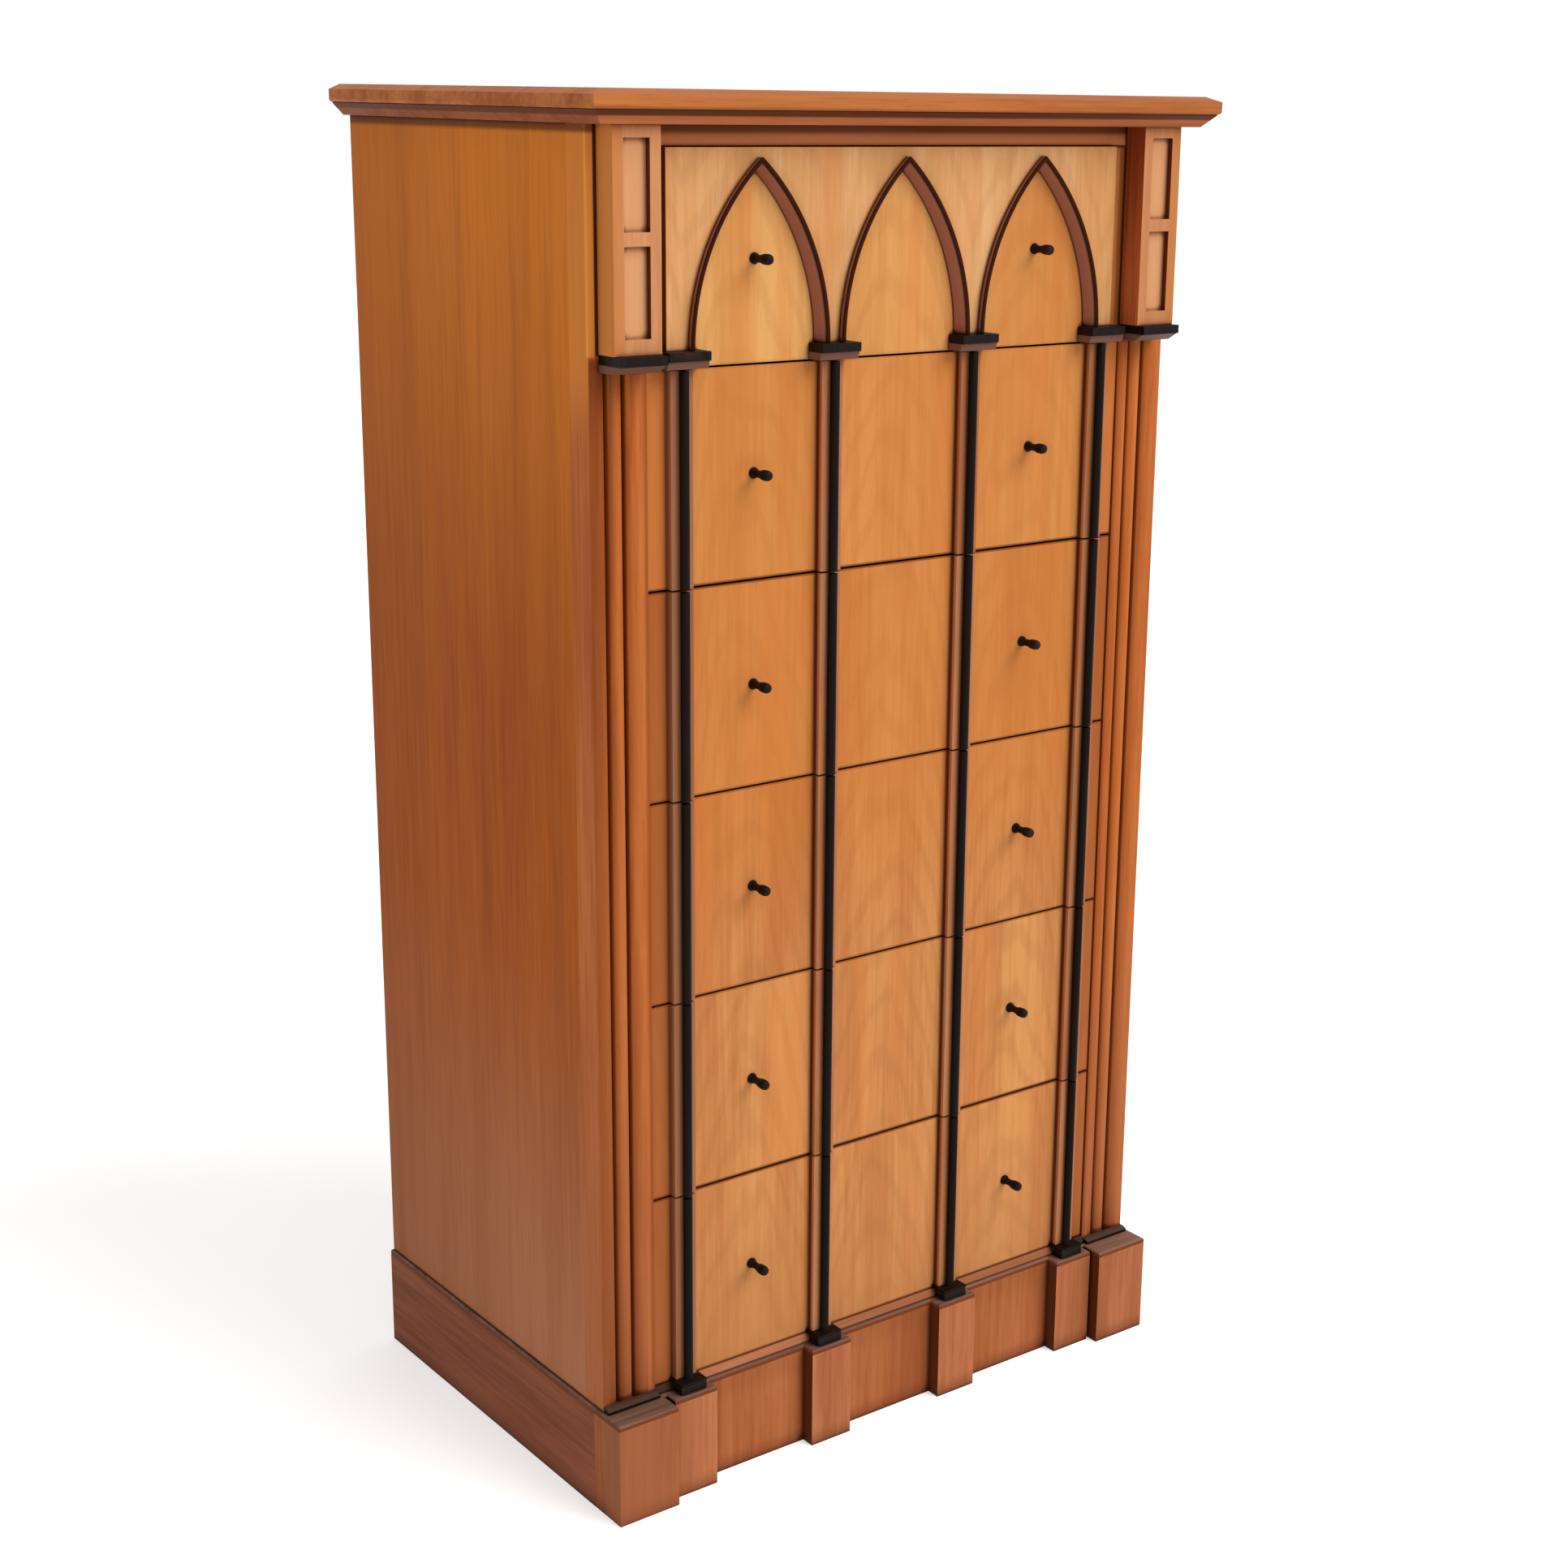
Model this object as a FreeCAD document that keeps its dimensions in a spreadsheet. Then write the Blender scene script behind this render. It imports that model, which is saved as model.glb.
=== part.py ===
import FreeCAD, Part
import Sketcher
import math
import os
import re

# A tall chest of six drawers: reeded corner posts, pointed arches on the top drawer, colonnettes on the
# five drawers below and a plinth that breaks forward in blocks. Millimetres, +Z up, front towards -Y.
# The origin is on the floor, under the middle of the top board.

# Case
case_width = 694
case_depth = 437
side_thick = 20
back_thick = 10

# Layers of the height, from the floor up
plinth_height = 104
cap_thick = 5
sill_height = 7
drawer_pitch = 200.5
top_drawer_pitch = 193.5
frieze_rail_height = 18.5
cornice_thick = 12.5
top_thick = 17

# Top board and the cornice moulding under it
top_overhang = 21.5
top_front = 52
top_slope = 12
top_slope_drop = 5
top_under_nose = 3
cornice_inset = 3
cornice_slope = 11.5

# Reeded corner posts, measured from the plane of the drawer faces
post_width = 60
post_proud = 2
post_behind = 30
reed_width = 17.5
groove_depth = 12
groove_flat = 1.5

# Frieze blocks, with two sunk panels each
block_proud = 28
block_reveal = 10.5
block_stile = 11.5
block_top = 11
block_rail = 12
block_foot = 14
block_sink = 6

# Capitals and bases
capital_height = 15.5
capital_slab = 8.5
capital_lip = 2
pilaster_capital_proud = 38
pilaster_capital_neck = 24
colonnette_capital_width = 45
colonnette_capital_proud = 22.5
colonnette_capital_neck = 18
pilaster_base_height = 5
pilaster_base_slab = 3
pilaster_base_proud = 12
pilaster_base_neck = 7

# Plinth
plinth_ledge = 4
plinth_proud = 10.5
plinth_board = 20
cap_chamfer = 1.5
sill_proud = 6
sill_slope = 5
pedestal_width = 50
pedestal_thick = 15.5
corner_block_thick = 27
block_gap = 3.5

# Drawers
drawer_gap = 2
drawer_side_gap = 1
front_thick = 22
box_inset = 2
box_side = 12
box_back = 12
box_bottom = 6
box_bottom_lift = 7
box_groove = 6
box_headroom = 14
box_rear_gap = 12
dust_thick = 12
dust_lift = 8
running_clearance = 0.3

# Colonnettes on the drawer fronts
colonnette_inset = 33.5
strip_width = 24
strip_thick = 8
column_seat = 2
column_stand = 4
foot_width = 30
foot_proud = 22
foot_height = 3

# Pointed arches on the top drawer
arch_leg_gap = 7.5
arch_headroom = 9.5
arch_width = 9.5
arch_proud = 7.5
arch_ridge = 3
arch_lip = 2
spandrel_thick = 7
spandrel_inset = 17

# Turned knobs
knob_length = 26
knob_head_radius = 5
knob_head_length = 12
knob_waist_radius = 3.6
knob_flare = 3
knob_foot_radius = 5.2
knob_foot_thick = 2.5
top_knob_drop = 2
spigot_radius = 3
spigot_length = 14
spigot_fit = 0.1

# Each driving dimension gets a cell of the sheet under its own name
size_values = {name: value for name, value in vars().items() if isinstance(value, (int, float))}
doc = FreeCAD.newDocument("chiffonier")
sheet = doc.addObject("Spreadsheet::Sheet", "sizes")
for line, (alias, value) in enumerate(size_values.items(), 1):
    sheet.set(f"A{line}", alias)
    sheet.set(f"B{line}", str(value))
    sheet.setAlias(f"B{line}", alias)
doc.recompute()

# Places that several pieces share, as formulas on the sizes
LOWER_DRAWERS = 5
DRAWERS = LOWER_DRAWERS + 1
COLONNETTES = 4
ARCHES = COLONNETTES - 1
FACE = "((top_front - case_depth) / 2)"
BACK = "((top_front + case_depth) / 2)"
CASE_HALF = "(case_width / 2)"
CASE_INNER = f"({CASE_HALF} - side_thick)"
POST_INNER = f"({CASE_HALF} - post_width)"
POST_FRONT = f"({FACE} - post_proud)"
POST_REAR = f"({FACE} + post_behind)"
BLOCK_OUTER = f"({CASE_HALF} - block_reveal)"
PLINTH_HALF = f"({CASE_HALF} + plinth_ledge)"
PLINTH_FRONT = f"({FACE} - plinth_proud)"
TOP_HALF = f"({CASE_HALF} + top_overhang)"
TOP_FRONT = f"({FACE} - top_front)"
FRONT_HALF = f"({POST_INNER} - drawer_side_gap)"
BOX_HALF = f"({FRONT_HALF} - box_inset)"
BOX_INNER = f"({BOX_HALF} - box_side)"
FRONT_REAR = f"({FACE} + front_thick)"
BOX_REAR = f"({BACK} - back_thick - box_rear_gap)"
SPACING = f"(2 * ({POST_INNER} - colonnette_inset) / {ARCHES})"
OUTER_AXIS = f"({POST_INNER} - colonnette_inset)"
CAP_TOP = "(plinth_height + cap_thick)"
SILL_TOP = f"({CAP_TOP} + sill_height)"
TOP_DRAWER_FOOT = f"({SILL_TOP} + {LOWER_DRAWERS} * drawer_pitch)"
FRIEZE_FOOT = f"({TOP_DRAWER_FOOT} + top_drawer_pitch)"
CORNICE_FOOT = f"({FRIEZE_FOOT} + frieze_rail_height)"
TOP_FOOT = f"({CORNICE_FOOT} + cornice_thick)"
CAPITAL_FOOT = f"({TOP_DRAWER_FOOT} + drawer_gap / 2)"
CAPITAL_TOP = f"({CAPITAL_FOOT} + capital_height)"

parts = {}


def formula(text):
    """Point each size named in a formula at its cell in the sheet."""
    return re.sub(r"[a-z_]+", lambda word: f"sizes.{word[0]}" if word[0] in size_values else word[0], text)


def number(text):
    """Work out a formula with the sizes as they stand."""
    value = sheet.evalExpression(formula(text))
    return float(getattr(value, "Value", value))


def place(item, x="0", y="0", z="0"):
    for axis, position in zip("xyz", (x, y, z)):
        item.setExpression(f"Placement.Base.{axis}", formula(position))


def keep(item, name):
    """Hand an object in as the sub-part of that name."""
    item.Label = name
    parts[name] = item
    return item


def board(name, x, y, z):
    """Rectangular piece between two formulas on each axis."""
    item = doc.addObject("Part::Box", name)
    for side, (low, high) in zip(("Length", "Width", "Height"), (x, y, z)):
        item.setExpression(side, formula(f"({high}) - ({low})"))
    place(item, x[0], y[0], z[0])
    return item


def cut(name, base, tools):
    """Take several tools away from a piece."""
    tool = doc.addObject("Part::Compound", f"{name}_tools")
    tool.Links = tools
    item = doc.addObject("Part::Cut", name)
    item.Base = base
    item.Tool = tool
    return item


def mirrored(name, item):
    """Copy of a piece on the other side of the chest's middle plane."""
    copy = doc.addObject("Part::Mirroring", name)
    copy.Source = item
    copy.Normal = FreeCAD.Vector(1, 0, 0)
    return copy


def group(name, items):
    """Alike pieces that share one sub-part."""
    item = doc.addObject("Part::Compound", name)
    item.Links = items
    return keep(item, name)


def pair(name, item):
    return group(name, [item, mirrored(f"{name}_other_side", item)])


def new_body(name):
    body = doc.addObject("PartDesign::Body", name)
    body.AllowCompound = True
    return body


def origin_feature(body, role):
    return next(feature for feature in body.Origin.OriginFeatures if feature.Role == role)


def bind(sketch, kind, element, point, text):
    """Fix one coordinate of a sketch point with a formula."""
    sketch.addConstraint(Sketcher.Constraint(kind, -1, 1, element, point, number(text)))
    sketch.setExpression(f"Constraints[{sketch.ConstraintCount - 1}]", formula(text))


def profile(body, role, corners, name="profile"):
    """Closed sketch through its corners, on one of the body's own planes.

    A corner is (across, up), or (across, up, centre across, centre up, turn) where an arc runs from it to
    the next corner about that centre, with turn 1 against the clock and -1 with it.
    """
    sketch = body.newObject("Sketcher::SketchObject", f"{body.Name}_{name}")
    sketch.AttachmentSupport = [(origin_feature(body, role), "")]
    sketch.MapMode = "FlatFace"
    spots = [FreeCAD.Vector(number(corner[0]), number(corner[1]), 0) for corner in corners]
    first_points = []
    for index, corner in enumerate(corners):
        start, end = spots[index], spots[(index + 1) % len(spots)]
        if len(corner) == 2:
            sketch.addGeometry(Part.LineSegment(start, end))
            first_points.append((1, 2))
            continue
        centre = FreeCAD.Vector(number(corner[2]), number(corner[3]), 0)
        opened, closed = (start, end) if corner[4] > 0 else (end, start)
        angles = [math.atan2(spot.y - centre.y, spot.x - centre.x) for spot in (opened, closed)]
        circle = Part.Circle(centre, FreeCAD.Vector(0, 0, 1), start.distanceToPoint(centre))
        sketch.addGeometry(Part.ArcOfCircle(circle, *angles))
        first_points.append((1, 2) if corner[4] > 0 else (2, 1))
    for index, corner in enumerate(corners):
        following = (index + 1) % len(corners)
        joint = (index, first_points[index][1], following, first_points[following][0])
        sketch.addConstraint(Sketcher.Constraint("Coincident", *joint))
    for index, corner in enumerate(corners):
        bind(sketch, "DistanceX", index, first_points[index][0], corner[0])
        bind(sketch, "DistanceY", index, first_points[index][0], corner[1])
        if len(corner) == 5:
            chord = spots[(index + 1) % len(spots)] - spots[index]
            upright = abs(chord.x) >= abs(chord.y)
            bind(sketch, "DistanceY" if upright else "DistanceX", index, 3, corner[3 if upright else 2])
    return sketch


def rectangle(body, role, across, up, name="profile"):
    corners = [(across[0], up[0]), (across[1], up[0]), (across[1], up[1]), (across[0], up[1])]
    return profile(body, role, corners, name)


def pad(body, sketch, length):
    feature = body.newObject("PartDesign::Pad", f"{sketch.Name}_pad")
    feature.Profile = sketch
    feature.setExpression("Length", formula(length))
    doc.recompute()
    return feature


def row(body, features, count, length):
    """Repeat features, or with none named the whole body, along X over a length."""
    pattern = body.newObject("PartDesign::LinearPattern", f"{body.Name}_row")
    if features:
        pattern.Originals = features
    else:
        pattern.TransformMode = "Whole shape"
    pattern.Direction = (origin_feature(body, "X_Axis"), [""])
    pattern.setExpression("Length", formula(length))
    pattern.Occurrences = count
    body.Tip = pattern
    doc.recompute()
    return pattern


def edges(feature, test):
    """Names of the edges whose middle passes a test."""
    numbered = enumerate(feature.Shape.Edges, 1)
    return [f"Edge{index}" for index, edge in numbered if test(edge.BoundBox.Center)]


def ease(body, kind, feature, property_name, amount, test):
    """Round or slope the edges that pass a test."""
    eased = body.newObject(f"PartDesign::{kind}", f"{feature.Name}_{amount}")
    eased.Base = (feature, edges(feature, test))
    eased.setExpression(property_name, formula(amount))
    doc.recompute()
    return eased


def level(place_of_edge, face):
    """True for an edge that lies on a face, to a thousandth of a millimetre."""
    return math.isclose(place_of_edge, face, abs_tol=0.001)


def make_top():
    body = new_body("top_board")
    outline = rectangle(body, "XY_Plane", (f"-{TOP_HALF}", TOP_HALF), (TOP_FRONT, BACK))
    slab = pad(body, outline, "top_thick")
    thick, rear = number("top_thick"), number(BACK)
    slope = ease(body, "Chamfer", slab, "Size", "top_slope_drop",
                 lambda centre: level(centre.z, thick) and not level(centre.y, rear))
    slope.ChamferType = "Two distances"
    slope.setExpression("Size2", formula("top_slope"))
    doc.recompute()
    ease(body, "Fillet", slope, "Radius", "top_under_nose",
         lambda centre: level(centre.z, 0) and not level(centre.y, rear))
    place(body, z=TOP_FOOT)
    keep(body, "top_board")


def make_cornice():
    body = new_body("cornice_moulding")
    half = f"({TOP_HALF} - cornice_inset)"
    front = f"({TOP_FRONT} + cornice_inset)"
    outline = rectangle(body, "XY_Plane", (f"-{half}", half), (front, BACK))
    slab = pad(body, outline, "cornice_thick")
    rear = number(BACK)
    ease(body, "Chamfer", slab, "Size", "cornice_slope",
         lambda centre: level(centre.z, 0) and not level(centre.y, rear))
    place(body, z=CORNICE_FOOT)
    keep(body, "cornice_moulding")


def make_case():
    upright = (CAP_TOP, CORNICE_FOOT)
    rail_span = (f"-{POST_INNER}", POST_INNER)
    inside = (f"-{CASE_INNER}", CASE_INNER)
    behind_posts = (POST_REAR, f"{BACK} - back_thick")
    keep(board("frieze_rail", rail_span, (FACE, FRONT_REAR), (FRIEZE_FOOT, CORNICE_FOOT)), "frieze_rail")
    side = board("side_panel_left", (f"-{CASE_HALF}", f"-{CASE_INNER}"), (POST_REAR, BACK), upright)
    keep(side, "side_panel_left")
    keep(mirrored("side_panel_right", side), "side_panel_right")
    keep(board("back_panel", inside, (f"{BACK} - back_thick", BACK), upright), "back_panel")
    keep(board("floor_board", inside, behind_posts, (CAP_TOP, f"{SILL_TOP} + dust_lift")), "floor_board")
    dust_boards = []
    for drawer in range(1, DRAWERS):
        top = f"{drawer_foot(drawer)} + dust_lift"
        layer = (f"{top} - dust_thick", top)
        dust_boards.append(board(f"dust_board_{drawer}", inside, behind_posts, layer))
    group("dust_boards", dust_boards)

    sill = new_body("sill")
    across = rectangle(sill, "XY_Plane", rail_span, (f"{FACE} - sill_proud", POST_REAR))
    strip = pad(sill, across, "sill_height")
    front, top = number(f"{FACE} - sill_proud"), number("sill_height")
    ease(sill, "Chamfer", strip, "Size", "sill_slope",
         lambda centre: level(centre.z, top) and level(centre.y, front))
    place(sill, z=CAP_TOP)
    keep(sill, "sill")


def make_posts():
    flat = "((post_width - reed_width - 2 * groove_depth - 2 * groove_flat) / 2)"
    valley = f"({flat} + groove_depth)"
    reed = f"({valley} + groove_flat)"
    reed_end = f"({reed} + reed_width)"
    far_valley = f"({reed_end} + groove_flat)"
    far_flat = f"(post_width - {flat})"
    depth = "post_proud + post_behind"
    corners = [
        ("0", "0"),
        (flat, "0", flat, "groove_depth", 1),
        (valley, "groove_depth"),
        (reed, "groove_depth", f"{reed} + reed_width / 2", "groove_depth", 1),
        (reed_end, "groove_depth"),
        (far_valley, "groove_depth", far_flat, "groove_depth", 1),
        (far_flat, "0"),
        ("post_width", "0"),
        ("post_width", depth),
        ("0", depth),
    ]
    body = new_body("corner_post_left")
    pad(body, profile(body, "XY_Plane", corners), f"{CORNICE_FOOT} - {CAP_TOP}")
    place(body, f"-{CASE_HALF}", POST_FRONT, CAP_TOP)
    keep(body, "corner_post_left")
    keep(mirrored("corner_post_right", body), "corner_post_right")


def make_frieze_blocks():
    body = new_body("frieze_block")
    height = f"({CORNICE_FOOT} - {CAPITAL_TOP})"
    panel = f"(({height} - block_top - block_rail - block_foot) / 2)"
    across = (f"-{BLOCK_OUTER} + block_stile", f"-{POST_INNER} - block_stile")
    slab = rectangle(body, "XZ_Plane", (f"-{BLOCK_OUTER}", f"-{POST_INNER}"), ("0", height))
    front = pad(body, slab, "block_proud - post_proud")
    for name, low in (("lower", "block_foot"), ("upper", f"block_foot + {panel} + block_rail")):
        sketch = rectangle(body, "XZ_Plane", across, (low, f"{low} + {panel}"), name)
        sketch.setExpression("AttachmentOffset.Base.z", formula("block_proud - post_proud"))
        sunk = body.newObject("PartDesign::Pocket", f"{name}_panel")
        sunk.Profile = sketch
        sunk.setExpression("Length", formula("block_sink"))
        doc.recompute()
        if body.Shape.Volume >= front.Shape.Volume:
            raise RuntimeError("a sunk panel of the frieze block took nothing away")
    place(body, "0", POST_FRONT, CAPITAL_TOP)
    pair("frieze_blocks", body)


def moulding_corners(rear, neck, proud, height, slab):
    """Side view of a capital: a slab over a slope that draws in to the neck."""
    return [
        (f"-{rear}", "0"),
        (f"-{rear}", height),
        (f"-{proud}", height),
        (f"-{proud}", f"{height} - {slab}"),
        (f"-{proud} + capital_lip", f"{height} - {slab}"),
        (f"-{neck}", "0"),
    ]


def make_pilaster_trim():
    capital = new_body("pilaster_capital")
    corners = moulding_corners("post_proud", "pilaster_capital_neck", "pilaster_capital_proud",
                               "capital_height", "capital_slab")
    pad(capital, profile(capital, "YZ_Plane", corners), f"{BLOCK_OUTER} - {POST_INNER}")
    place(capital, f"-{BLOCK_OUTER}", FACE, CAPITAL_FOOT)
    pair("pilaster_capitals", capital)

    base = new_body("pilaster_base")
    corners = [
        ("-post_proud", "0"),
        ("-pilaster_base_proud", "0"),
        ("-pilaster_base_proud", "pilaster_base_slab"),
        ("-pilaster_base_neck", "pilaster_base_height"),
        ("-post_proud", "pilaster_base_height"),
    ]
    pad(base, profile(base, "YZ_Plane", corners), "post_width")
    place(base, f"-{CASE_HALF}", FACE, CAP_TOP)
    pair("pilaster_bases", base)

    feet = new_body("colonnette_bases")
    sketch = rectangle(feet, "XY_Plane", ("-foot_width / 2", "foot_width / 2"),
                       ("-foot_proud", "-sill_proud"))
    row(feet, [pad(feet, sketch, "sill_height")], COLONNETTES, f"2 * {OUTER_AXIS}")
    place(feet, f"-{OUTER_AXIS}", FACE, CAP_TOP)
    keep(feet, "colonnette_bases")


def make_plinth():
    upright = ("0", "plinth_height")
    side_front = f"({PLINTH_FRONT} + plinth_board)"
    side_inner = f"({PLINTH_HALF} - plinth_board)"
    corner_inner = f"({OUTER_AXIS} + pedestal_width / 2 + block_gap)"
    corner_front = f"({PLINTH_FRONT} - corner_block_thick)"
    pedestal_front = f"({PLINTH_FRONT} - pedestal_thick)"
    front = board("plinth_front", (f"-{PLINTH_HALF}", PLINTH_HALF), (PLINTH_FRONT, side_front), upright)
    keep(front, "plinth_front")
    side = board("plinth_side", (f"-{PLINTH_HALF}", f"-{side_inner}"), (side_front, BACK), upright)
    pair("plinth_sides", side)
    rear = (f"{BACK} - plinth_board", BACK)
    keep(board("plinth_back", (f"-{side_inner}", side_inner), rear, upright), "plinth_back")

    corner = board("corner_block", (f"-{PLINTH_HALF}", f"-{corner_inner}"),
                   (corner_front, PLINTH_FRONT), upright)
    pair("corner_blocks", corner)
    pedestals = new_body("pedestal_blocks")
    sketch = rectangle(pedestals, "XY_Plane", ("-pedestal_width / 2", "pedestal_width / 2"),
                       ("-pedestal_thick", "0"))
    block = pad(pedestals, sketch, "plinth_height")
    row(pedestals, [block], COLONNETTES, f"2 * {OUTER_AXIS}")
    place(pedestals, f"-{OUTER_AXIS}", PLINTH_FRONT)
    keep(pedestals, "pedestal_blocks")

    # The cap follows the blocks: forward over each of them and back between them.
    corners = [
        (f"-{PLINTH_HALF}", BACK),
        (f"-{PLINTH_HALF}", corner_front),
        (f"-{corner_inner}", corner_front),
        (f"-{corner_inner}", PLINTH_FRONT),
    ]
    for index in range(COLONNETTES):
        axis = f"{index} * {SPACING} - {OUTER_AXIS}"
        corners += [
            (f"{axis} - pedestal_width / 2", PLINTH_FRONT),
            (f"{axis} - pedestal_width / 2", pedestal_front),
            (f"{axis} + pedestal_width / 2", pedestal_front),
            (f"{axis} + pedestal_width / 2", PLINTH_FRONT),
        ]
    corners += [
        (corner_inner, PLINTH_FRONT),
        (corner_inner, corner_front),
        (PLINTH_HALF, corner_front),
        (PLINTH_HALF, BACK),
    ]
    cap = new_body("plinth_cap")
    slab = pad(cap, profile(cap, "XY_Plane", corners), "cap_thick")
    thick, rear_face = number("cap_thick"), number(BACK)
    ease(cap, "Chamfer", slab, "Size", "cap_chamfer",
         lambda centre: level(centre.z, thick) and not level(centre.y, rear_face))
    place(cap, z="plinth_height")
    keep(cap, "plinth_cap")


def drawer_foot(drawer):
    """Height of the joint under a drawer, the drawers being counted from the top."""
    return f"({SILL_TOP} + {DRAWERS - drawer} * drawer_pitch)"


def drawer_height(drawer):
    return "top_drawer_pitch" if drawer == 1 else "drawer_pitch"


def make_knobs(name, middle):
    corners = [
        ("0", "-knob_length", "0", "knob_head_radius - knob_length", 1),
        ("knob_head_radius", "knob_head_radius - knob_length"),
        ("knob_head_radius", "knob_head_length - knob_length - knob_flare"),
        ("knob_waist_radius", "knob_head_length - knob_length"),
        ("knob_waist_radius", "-knob_foot_thick - knob_flare"),
        ("knob_foot_radius", "-knob_foot_thick"),
        ("knob_foot_radius", "0"),
        ("spigot_radius", "0"),
        ("spigot_radius", "spigot_length"),
        ("0", "spigot_length"),
    ]
    body = new_body(name)
    sketch = profile(body, "XY_Plane", corners)
    turned = body.newObject("PartDesign::Revolution", f"{name}_turned")
    turned.Profile = sketch
    turned.ReferenceAxis = (sketch, ["V_Axis"])
    doc.recompute()
    row(body, [turned], 2, f"2 * {SPACING}")
    place(body, f"-{SPACING}", FACE, middle)
    keep(body, name)


def make_drawer(drawer):
    name = f"drawer_{drawer}"
    foot, height = drawer_foot(drawer), drawer_height(drawer)
    run = f"({foot} + dust_lift + running_clearance)"
    box_top = f"({foot} + {height} + dust_lift - dust_thick - box_headroom)"
    bottom = (f"{run} + box_bottom_lift", f"{run} + box_bottom_lift + box_bottom")
    middle = f"{foot} + {height} / 2"
    if drawer == 1:
        middle += " - top_knob_drop"
    bottom_half = f"({BOX_INNER} + box_groove)"
    bottom_front = f"{FRONT_REAR} - box_groove"

    blank = board(f"{name}_front_blank", (f"-{FRONT_HALF}", FRONT_HALF), (FACE, FRONT_REAR),
                  (f"{foot} + drawer_gap / 2", f"{foot} + {height} - drawer_gap / 2"))
    across = (f"-{bottom_half}", bottom_half)
    tools = [board(f"{name}_front_groove", across, (bottom_front, FRONT_REAR), bottom)]
    for side in ("-", ""):
        hole = doc.addObject("Part::Cylinder", f"{name}_knob_hole")
        hole.Placement.Rotation = FreeCAD.Rotation(FreeCAD.Vector(1, 0, 0), -90)
        hole.setExpression("Radius", formula("spigot_radius + spigot_fit"))
        hole.setExpression("Height", formula("spigot_length + spigot_fit"))
        place(hole, f"{side}{SPACING}", FACE, middle)
        tools.append(hole)
    keep(cut(f"{name}_front", blank, tools), f"{name}_front")

    along = (FRONT_REAR, BOX_REAR)
    plank = board(f"{name}_side_blank", (f"-{BOX_HALF}", f"-{BOX_INNER}"), along, (run, box_top))
    groove = board(f"{name}_side_groove", (f"-{bottom_half}", f"-{BOX_INNER}"), along, bottom)
    pair(f"{name}_sides", cut(f"{name}_side", plank, [groove]))
    rear = (f"{BOX_REAR} - box_back", BOX_REAR)
    keep(board(f"{name}_back", (f"-{BOX_INNER}", BOX_INNER), rear, (bottom[1], box_top)), f"{name}_back")
    floor = board(f"{name}_bottom", across, (bottom_front, BOX_REAR), bottom)
    keep(floor, f"{name}_bottom")
    make_knobs(f"{name}_knobs", middle)


def make_colonnettes(drawer):
    """Strips with a round column, one length on each of the lower drawers; the lowest ones have a foot."""
    name = f"drawer_{drawer}_colonnettes"
    corners = [
        ("-strip_width / 2", "0"),
        ("-strip_width / 2", "-strip_thick"),
        ("-column_seat", "-strip_thick", "0", "-strip_thick - column_stand", 1),
        ("column_seat", "-strip_thick"),
        ("strip_width / 2", "-strip_thick"),
        ("strip_width / 2", "0"),
    ]
    body = new_body(name)
    features = [pad(body, profile(body, "XY_Plane", corners), f"{drawer_height(drawer)} - drawer_gap")]
    if drawer == DRAWERS:
        foot = rectangle(body, "XY_Plane", ("-foot_width / 2", "foot_width / 2"),
                         ("-foot_proud", "0"), "foot")
        features.append(pad(body, foot, "foot_height"))
    row(body, features, COLONNETTES, f"2 * {OUTER_AXIS}")
    place(body, f"-{OUTER_AXIS}", FACE, f"{drawer_foot(drawer)} + drawer_gap / 2")
    keep(body, name)


def make_colonnette_capitals():
    body = new_body("drawer_1_capitals")
    corners = moulding_corners("0", "colonnette_capital_neck", "colonnette_capital_proud",
                               "capital_height", "capital_slab")
    slab = pad(body, profile(body, "YZ_Plane", corners), "colonnette_capital_width")
    row(body, [slab], COLONNETTES, f"2 * {OUTER_AXIS}")
    place(body, f"-{OUTER_AXIS} - colonnette_capital_width / 2", FACE, CAPITAL_FOOT)
    keep(body, "drawer_1_capitals")


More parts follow.
